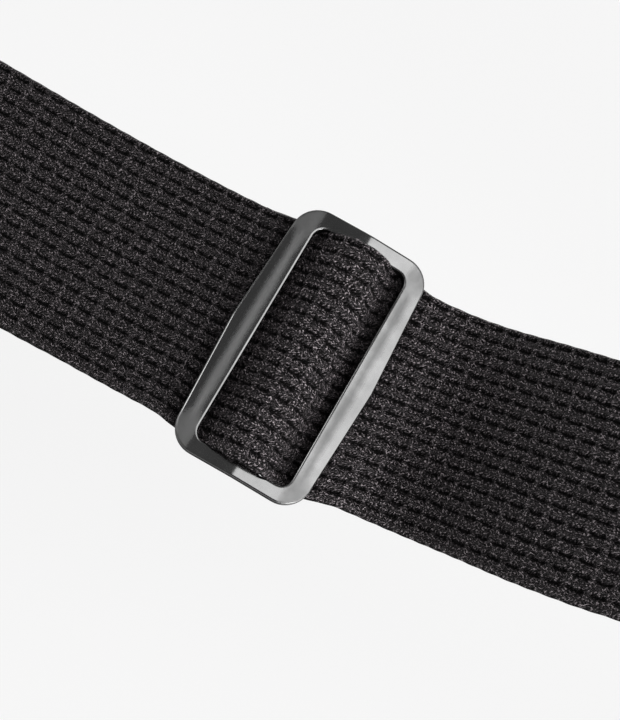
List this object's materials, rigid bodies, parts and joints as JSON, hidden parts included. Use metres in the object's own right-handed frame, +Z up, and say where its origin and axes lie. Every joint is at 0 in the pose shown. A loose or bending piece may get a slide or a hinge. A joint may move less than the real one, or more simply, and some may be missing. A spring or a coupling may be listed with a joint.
{
  "type": "guitar strap",
  "caption": "Adjustable guitar strap of black webbing with a flat metal slider, a wire ring and leather end tabs with button holes.",
  "frame": {"origin": "on the surface the strap lies on, midway along it, which is under the middle of the slider", "axes": "+X along the strap from the ring towards the head tab, +Y across it, +Z up from the surface"},
  "size_m": [1.14, 0.0596, 0.0441],
  "materials": {
    "webbing": "coarse black weave",
    "metal": "satin black",
    "leather": "fine-grained, semi-matte",
    "thread": "waxed thread"
  },
  "bodies": {
    "head_side": {"webbing_to_head_tab": "webbing", "head_tab_front": "leather", "head_tab_back": "leather", "head_tab_front_thread": "thread", "head_tab_back_thread": "thread"},
    "slider": {"slider": "metal", "webbing_through_slider": "webbing", "webbing_end_round_centre_bar": "webbing", "bar_tack_thread": "thread"},
    "ring_fold": {"webbing_fold_at_ring": "webbing"},
    "ring": {"ring": "metal"},
    "tail_tab": {"tail_loop": "webbing", "tail_tab_front": "leather", "tail_tab_back": "leather", "tail_tab_front_thread": "thread", "tail_tab_back_thread": "thread"}
  },
  "joints": [
    {"name": "slider_slide", "type": "slide", "parent": "head_side", "child": "slider", "axis": [1, 0, 0], "range_m": [-0.2, 0.2], "deforming": ["webbing_to_head_tab"]},
    {"name": "ring_travel", "type": "slide", "parent": "slider", "child": "ring_fold", "axis": [1, 0, 0], "range_m": [-0.1, 0.1], "deforming": ["webbing_fold_at_ring"]},
    {"name": "ring_tilt", "type": "hinge", "parent": "ring_fold", "child": "ring", "pos_m": [-0.4434, 0, 0.00425], "axis": [0, 1, 0], "range_deg": [-90, 90]},
    {"name": "tail_tab_swing", "type": "hinge", "parent": "ring", "child": "tail_tab", "pos_m": [-0.461, 0, 0.00425], "axis": [0, 1, 0], "range_deg": [-90, 90]}
  ],
  "couplings": [
    {"joint": "ring_travel", "follows": "slider_slide", "ratio": -0.5}
  ]
}
